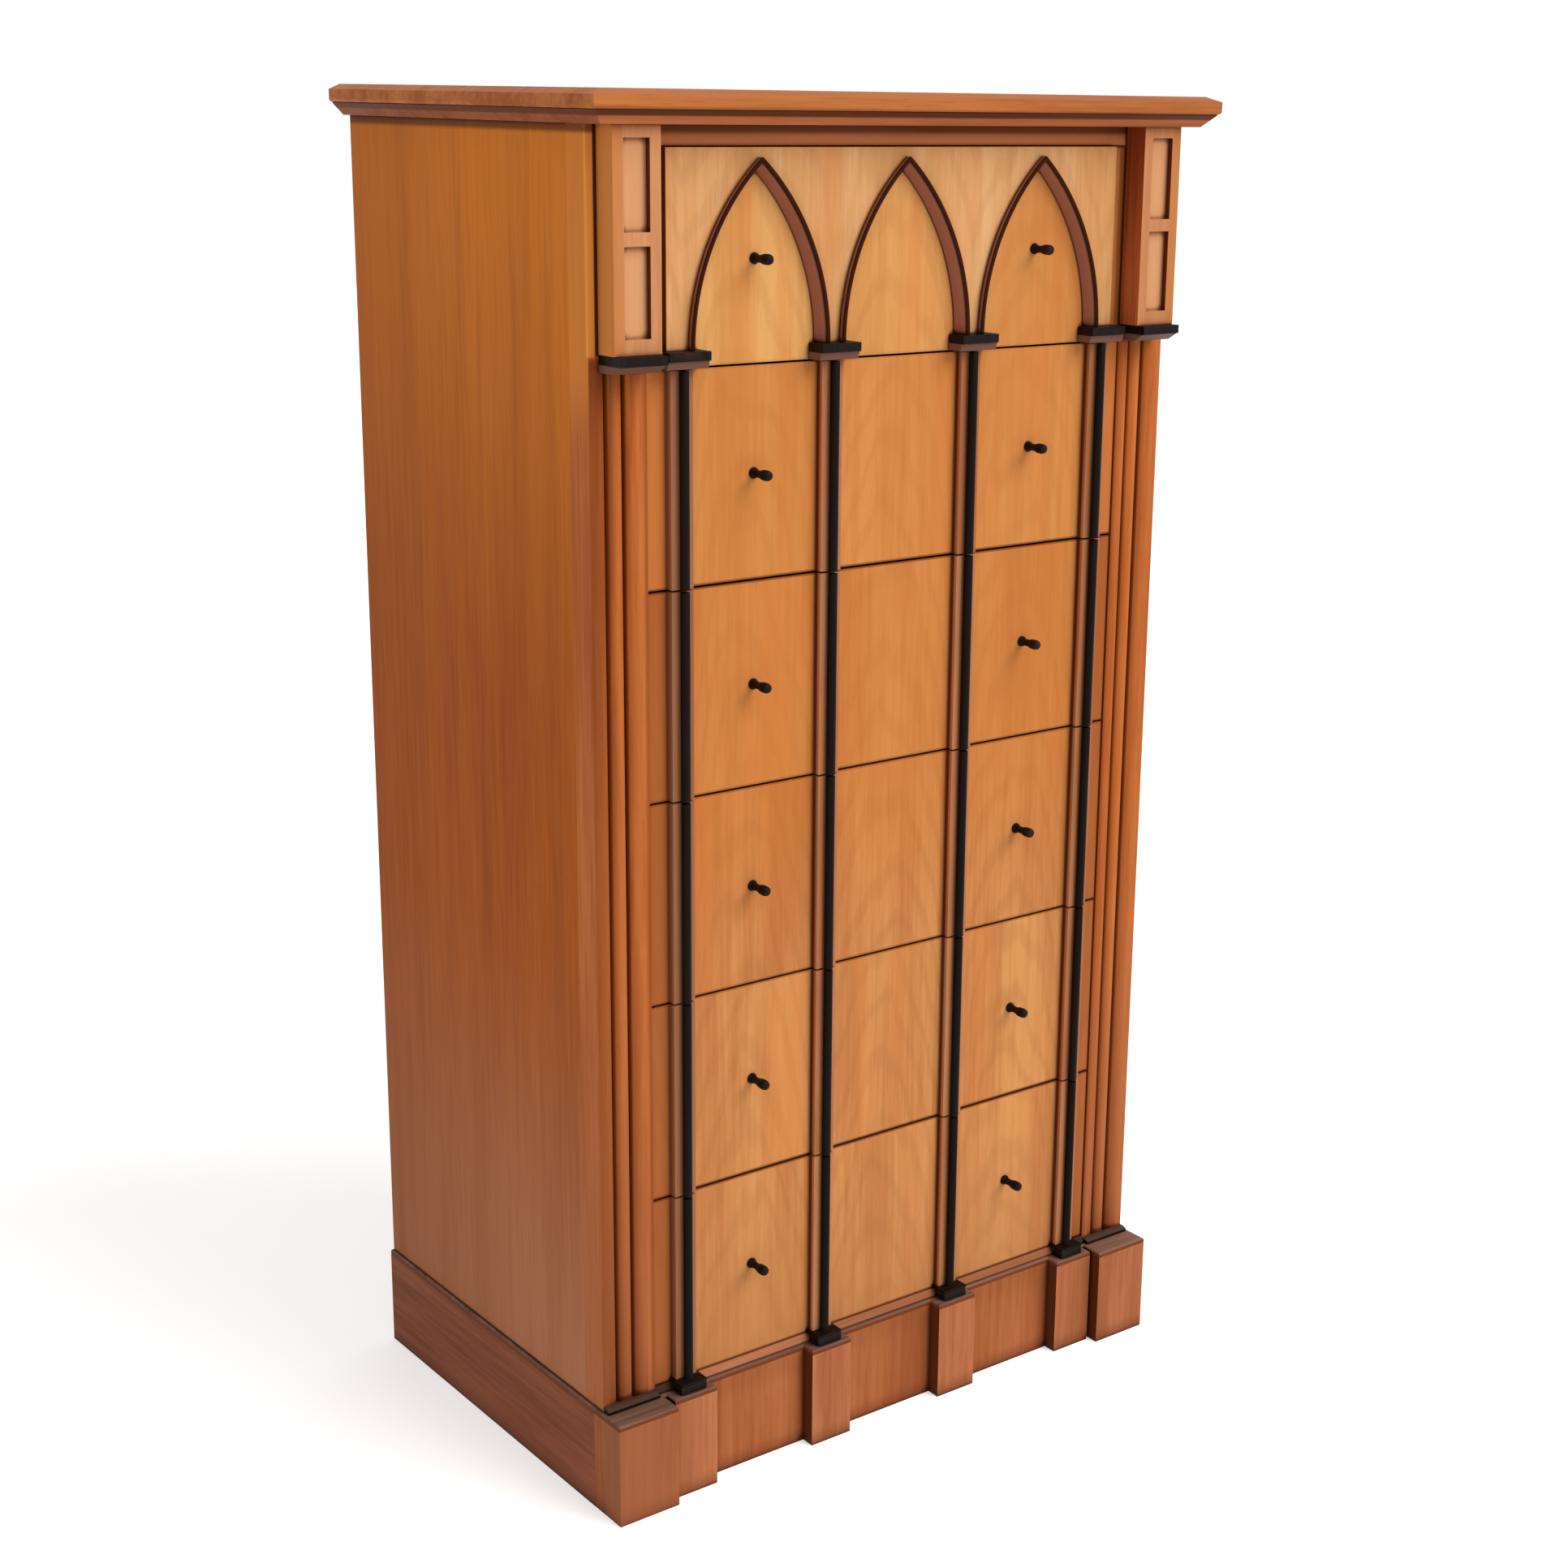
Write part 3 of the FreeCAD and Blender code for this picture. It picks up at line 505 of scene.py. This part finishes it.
def finish_top():
    """The top board, and the cornice below it with its quirk painted as a dark shadow line and painted
    shade on its left-facing faces.
    """
    top = wood("top_polish", tone(198, 120, 64), tone(160, 84, 40), along="X", shift=5.5, overlays=[
        (facing("Z", 0.6, 0.85), tone(170, 100, 58), 0.5),
        DARK_CORNERS,
    ])
    dress(top, "top_board")
    quirk_foot = TOP_FOOT - QUIRK_HEIGHT
    cornice = wood("cornice_polish", tone(200, 120, 74), tone(164, 88, 48), along="X", shift=6.1, overlays=[
        (in_corners(CORNER), GLAZE_AND_SHADE, 0.7),
        # Dark line painted as the quirk's shadow
        (along_axis("Z", quirk_foot - SHARP, quirk_foot + SHARP), tone(78, 36, 18), 0.9),
        # Painted shade on the cornice's left-facing faces
        (facing("X", -0.3, -0.6), tone(104, 50, 24), 0.55),
    ])
    dress(cornice, "cornice_moulding")


def finish_plinth():
    """Redder plinth and blocks, with painted shade under the cap, by the floor, at the left corner and on
    left-facing flanks, under a brown cap whose upper faces keep a painted grey sheen.
    """
    corners = (in_corners(PLINTH_CORNER), GLAZE_AND_SHADE, 0.9)
    # Painted shade below the cap
    near_cap = along_axis("Z", PLINTH_TOP - CAP_SHADE, PLINTH_TOP - CAP_SHADE_FULL)
    # Painted shadow near the floor
    by_floor = (along_axis("Z", PLINTH_TOP / 5, 0), FLOOR_SHADE, 0.5)
    front = wood("plinth_polish", tone(184, 110, 64), tone(154, 84, 46), shift=7.7, overlays=[
        (near_cap, tone(126, 68, 38), 0.25),
        by_floor,
        corners,
    ])
    dress(front, "plinth_front", "plinth_back")
    side = wood("plinth_side_polish", tone(160, 90, 60), tone(122, 64, 40), along="Y", shift=7.2,
                overlays=[by_floor, corners])
    dress(side, "plinth_sides")
    # Painted shade over the left corner
    left_corner = along_axis("X", SHADED_REED + PLINTH_CORNER_SHADE, SHADED_REED)
    past_outer_flank = along_axis("X", PLINTH_FLANK - CASE_HALF, 2 * PLINTH_FLANK - CASE_HALF)
    block = wood("plinth_block_polish", tone(196, 124, 82), tone(158, 90, 54), shift=8.3, overlays=[
        by_floor,
        corners,
        (left_corner, tone(138, 76, 46), 0.6),
        # Dark polish and painted shade on the left-facing flanks
        (both(LEFT_FACES, past_outer_flank), FLANK_GLAZE_AND_SHADE, 0.9),
    ])
    dress(block, "corner_blocks", "pedestal_blocks")
    # Grey-brown tone that stands for a painted sheen on the cap's upper faces; faces that do not look up
    # are painted redder brown
    cap = wood("cap_polish", tone(148, 109, 91), tone(102, 73, 59), along="X", shift=9.1, overlays=[
        (facing("Z", 0.8, 0.3), tone(118, 60, 32), 0.95),
        # Dark polish and painted shade in the cap's inner corners
        (in_corners(CAP_CORNER), BLACK_AND_SHADE, 0.75),
    ])
    dress(cap, "plinth_cap")


def finish_black_trim():
    """Black capitals with a painted highlight on the slope, and black bases with painted highlights on
    their upper faces.
    """
    slope_top = CAPITAL_TOP - CAPITAL_SLAB
    capital = ebonised("black_capital", overlays=[
        # Painted highlight on the lower slope of each capital
        (along_axis("Z", slope_top + SHARP / 2, slope_top - SHARP / 2), tone(134, 92, 76), 0.75),
    ])
    dress(capital, "pilaster_capitals", "drawer_1_capitals")
    # Painted highlight on the upper faces of the bases
    base = ebonised("black_base", overlays=[(facing("Z", 0.5, 0.95), tone(88, 66, 54), 0.7)])
    dress(base, "pilaster_bases", "colonnette_bases")


def finish_arches():
    """Brown arches with a painted highlight on their walls, dark along the ridge, and dark polish with
    painted shade where they meet the drawer.
    """
    ridge = FACE - ARCH_RIDGE
    arch = wood("arch_polish", tone(108, 50, 18), tone(80, 34, 10), shift=10.4, overlays=[
        # Painted highlight on the arch walls, out from the ridge
        (along_axis("Y", ridge, ridge + ARCH_WALL), tone(174, 110, 86), 0.75),
        (along_axis("Y", ridge + RIDGE_LINE + SHARP, ridge + RIDGE_LINE), EDGE_LINE_AND_SHADE, 0.85),
        # Dark polish and painted shade where the arches meet the drawer
        (in_corners(SMALL_CORNER), EDGE_LINE_AND_SHADE, 0.95),
    ])
    dress(arch, "drawer_1_arches")


def finish_inside():
    bare = wood("bare_board", tone(212, 172, 122), tone(178, 134, 84), along="X", shift=11.2,
                roughness=0.6, gloss=BARE_GLOSS)
    dress(bare, "floor_board", "dust_boards")
    back = wood("back_board", tone(176, 128, 84), tone(138, 92, 54), shift=12.8, roughness=0.62,
                gloss=BARE_GLOSS)
    dress(back, "back_panel")


# Drawers

def drawer_veneer(drawer):
    """Front of one drawer: golden in the upper ones, greyer in the lowest ones, dark along its joints."""
    light, dark = OTHER_VENEERS.get(drawer, PLAIN_VENEER)
    if drawer == 1:
        gold = 0.12
        ends = DRAWER_END - END_LINE
        shade = (along_axis("X", SPACING / 2, SPACING * 0.8), tone(196, 108, 40), 0.5)
    else:
        gold = 0.48
        ends = OUTER_AXIS
        shade = (along_axis("Z", GREY_BELOW / 2, CASE_FOOT), tone(176, 120, 76), 0.4)
    foot, head = (corner.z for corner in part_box(f"drawer_{drawer}_front"))
    along_foot = along_axis("Z", foot + JOINT_LINE + SOFT, foot + JOINT_LINE)
    along_head = along_axis("Z", head - JOINT_LINE - SOFT, head - JOINT_LINE)
    overlays = [
        (streaks(24, (drawer, 7, 3)), tone(218, 128, 66), 0.45),
        (along_axis("Z", GOLD_FROM, GOLD_ABOVE), tone(204, 118, 42), gold),
        shade,
        (aside(ends, ends + 2 * SOFT), OTHER_ENDS.get(drawer, PLAIN_END), 0.75),
        (along_foot, JOINT, JOINT_DEPTHS[drawer]),
        (along_head, JOINT, JOINT_DEPTHS[drawer - 1]),
        (in_corners(SMALL_CORNER), GLAZE_AND_SHADE, 0.85),
    ]
    return wood(f"drawer_{drawer}_veneer", light, dark, shift=VENEER_SHIFT + VENEER_STEP * drawer,
                rings=RING_STRENGTH, overlays=overlays)


def strip_finish(drawer):
    """Light strip behind a black column, with dark polish and painted shade on its left flank; the lowest
    ones stand on a black foot.
    """
    column_rear = FACE - STRIP_THICK - COLUMN_BORDER / 3
    foot_top = LOWEST_FOOT + FOOT_HEIGHT
    # Dark polish and painted shade on the strip's left flank by the drawer front
    shaded_rear_line = both(LEFT_FACES, along_axis("Y", FACE - 2 * STRIP_LINE, FACE - STRIP_LINE))
    overlays = [
        (in_corners(FINE_CORNER), GLAZE_AND_SHADE, 0.4),
        (shaded_rear_line, tone(84, 26, 4), 0.9),
        (along_axis("X", -SPACING, -OUTER_AXIS), tone(146, 96, 68), 0.65),
        (along_axis("Y", column_rear, column_rear - COLUMN_BORDER), BLACK_AND_SHADE, 1.0),
        (along_axis("Z", foot_top + COLUMN_BORDER / 2, foot_top), BLACK_AND_SHADE, 1.0),
    ]
    return wood(f"drawer_{drawer}_strip", tone(198, 134, 92), tone(170, 106, 66),
                shift=STRIP_SHIFT + drawer, overlays=overlays)


def finish_drawers():
    """Veneered fronts on bare boxes, strips on the lower five and the pierced plate on the top one."""
    bare_side = wood("drawer_side_board", tone(224, 176, 120), tone(194, 140, 84), along="Y", shift=13.4,
                     roughness=0.58, gloss=BARE_GLOSS)
    bare_bottom = wood("drawer_bottom_board", tone(218, 172, 118), tone(188, 136, 82), along="X",
                       shift=14.9, roughness=0.6, gloss=BARE_GLOSS)
    for drawer in DRAWERS:
        dress(drawer_veneer(drawer), f"drawer_{drawer}_front")
        dress(bare_side, f"drawer_{drawer}_sides", f"drawer_{drawer}_back")
        dress(bare_bottom, f"drawer_{drawer}_bottom")
        if drawer > 1:
            dress(strip_finish(drawer), f"drawer_{drawer}_colonnettes")
    on_plate = [
        (streaks(24, (2, 9, 4)), tone(218, 134, 74), 0.4),
        (in_corners(SMALL_CORNER), GLAZE_AND_SHADE, 0.85),
        # Painted shade on the plate's left-facing faces
        (LEFT_FACES, tone(80, 30, 6), 0.95),
    ]
    plate = wood("spandrel_veneer", tone(233, 178, 123), tone(214, 151, 92), shift=1.9,
                 rings=RING_STRENGTH, overlays=on_plate)
    dress(plate, "drawer_1_spandrels")


def turned_knobs(drawer, finish):
    """Both knobs of a drawer: a collar on the front, a waist and a rounded head, turned about one axis."""
    low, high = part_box(f"drawer_{drawer}_knobs")
    height = (low.z + high.z) / 2
    shape = bmesh.new()
    for side in (-1, 1):
        centre = Vector((side * SPACING, FACE, height))
        steps = [Vector((radius, -out, 0)) / MILLIMETRES_PER_METRE for radius, out in KNOB_OUTLINE]
        rims = [shape.verts.new(centre + step) for step in steps]
        lines = [shape.edges.new(pair) for pair in zip(rims, rims[1:])]
        bmesh.ops.spin(shape, geom=rims + lines, cent=centre, axis=(0, 1, 0), angle=math.tau,
                       steps=KNOB_STEPS, use_merge=True)
    bmesh.ops.remove_doubles(shape, verts=shape.verts, dist=KNOB_MERGE)
    bmesh.ops.recalc_face_normals(shape, faces=shape.faces)
    for face in shape.faces:
        face.smooth = True
    mesh = bpy.data.meshes.new(f"drawer_{drawer}_turned_knobs")
    shape.to_mesh(mesh)
    shape.free()
    mesh.materials.append(finish)
    piece = bpy.data.objects.new(mesh.name, mesh)
    bpy.context.scene.collection.objects.link(piece)
    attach(piece, f"drawer_{drawer}")
    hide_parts(f"drawer_{drawer}_knobs")


# Studio

def aim_camera():
    forward = Vector((math.sin(CAMERA_TURN) * math.cos(CAMERA_TILT),
                      math.cos(CAMERA_TURN) * math.cos(CAMERA_TILT), math.sin(CAMERA_TILT)))
    level = Vector((math.cos(CAMERA_TURN), -math.sin(CAMERA_TURN), 0))
    upright = level.cross(forward)
    right = level * math.cos(CAMERA_ROLL) + upright * math.sin(CAMERA_ROLL)
    up = upright * math.cos(CAMERA_ROLL) - level * math.sin(CAMERA_ROLL)
    camera = bpy.data.objects.new("camera", bpy.data.cameras.new("camera"))
    bpy.context.scene.collection.objects.link(camera)
    turn = Matrix((right, up, -forward)).transposed().to_4x4()
    camera.matrix_world = Matrix.Translation(CAMERA_PLACE) @ turn
    camera.data.lens = FOCAL_PIXELS / FRAME_PIXELS * camera.data.sensor_width
    camera.data.shift_x = 0.5 - FRAME_CENTRE[0] / FRAME_PIXELS
    camera.data.shift_y = FRAME_CENTRE[1] / FRAME_PIXELS - 0.5
    bpy.context.scene.camera = camera


def seen_rays(tree):
    """1 for what the camera sees, also by way of gloss or glass."""
    path = add(tree, "ShaderNodeLightPath").outputs
    seen = calculate(tree, "MAXIMUM", path["Is Camera Ray"], path["Is Glossy Ray"])
    return calculate(tree, "MAXIMUM", seen, path["Is Transmission Ray"])


def light_studio():
    """White sky that lights softly, and one broad sun from the front right."""
    world = bpy.data.worlds.new("studio")
    bpy.context.scene.world = world
    world.use_nodes = True
    tree = world.node_tree
    sky = tree.nodes["Background"]
    sky.inputs["Color"].default_value = WHITE
    levels = {"Value": seen_rays(tree), "To Min": SKY_LEVEL, "To Max": SEEN_SKY_LEVEL}
    tree.links.new(add(tree, "ShaderNodeMapRange", levels).outputs[0], sky.inputs["Strength"])

    sun = bpy.data.objects.new("sun", bpy.data.lights.new("sun", "SUN"))
    bpy.context.scene.collection.objects.link(sun)
    sun.data.energy = SUN_LEVEL
    sun.data.angle = SUN_SPREAD
    sun.matrix_world = SUN_FROM.to_track_quat("Z", "Y").to_matrix().to_4x4()


def lay_floor():
    """White floor that glows a little where it is seen, so that it meets the sky without an edge."""
    shape = bmesh.new()
    bmesh.ops.create_grid(shape, x_segments=1, y_segments=1, size=FLOOR_HALF)
    mesh = bpy.data.meshes.new("floor")
    shape.to_mesh(mesh)
    shape.free()
    floor = bpy.data.objects.new("floor", mesh)
    bpy.context.scene.collection.objects.link(floor)
    paper = bpy.data.materials.new("white_floor")
    paper.use_nodes = True
    tree = paper.node_tree
    shader = tree.nodes["Principled BSDF"]
    shader.inputs["Base Color"].default_value = FLOOR_COLOUR
    shader.inputs["Roughness"].default_value = FLOOR_ROUGHNESS
    shader.inputs["Specular IOR Level"].default_value = 0.0
    shader.inputs["Emission Color"].default_value = WHITE
    glow = add(tree, "ShaderNodeMapRange", {"Value": seen_rays(tree), "To Min": 0.0, "To Max": FLOOR_GLOW})
    tree.links.new(glow.outputs[0], shader.inputs["Emission Strength"])
    mesh.materials.append(paper)


finish_sides()
finish_posts()
finish_frieze_blocks()
finish_rails()
finish_top()
finish_plinth()
finish_black_trim()
finish_arches()
finish_inside()
finish_drawers()
black_knob = ebonised("black_knob")
for drawer_number in DRAWERS:
    turned_knobs(drawer_number, black_knob)
soften(*(name for name in nodes if not name.endswith("_knobs")))
aim_camera()
light_studio()
lay_floor()
bpy.context.scene.view_settings.view_transform = "Standard"
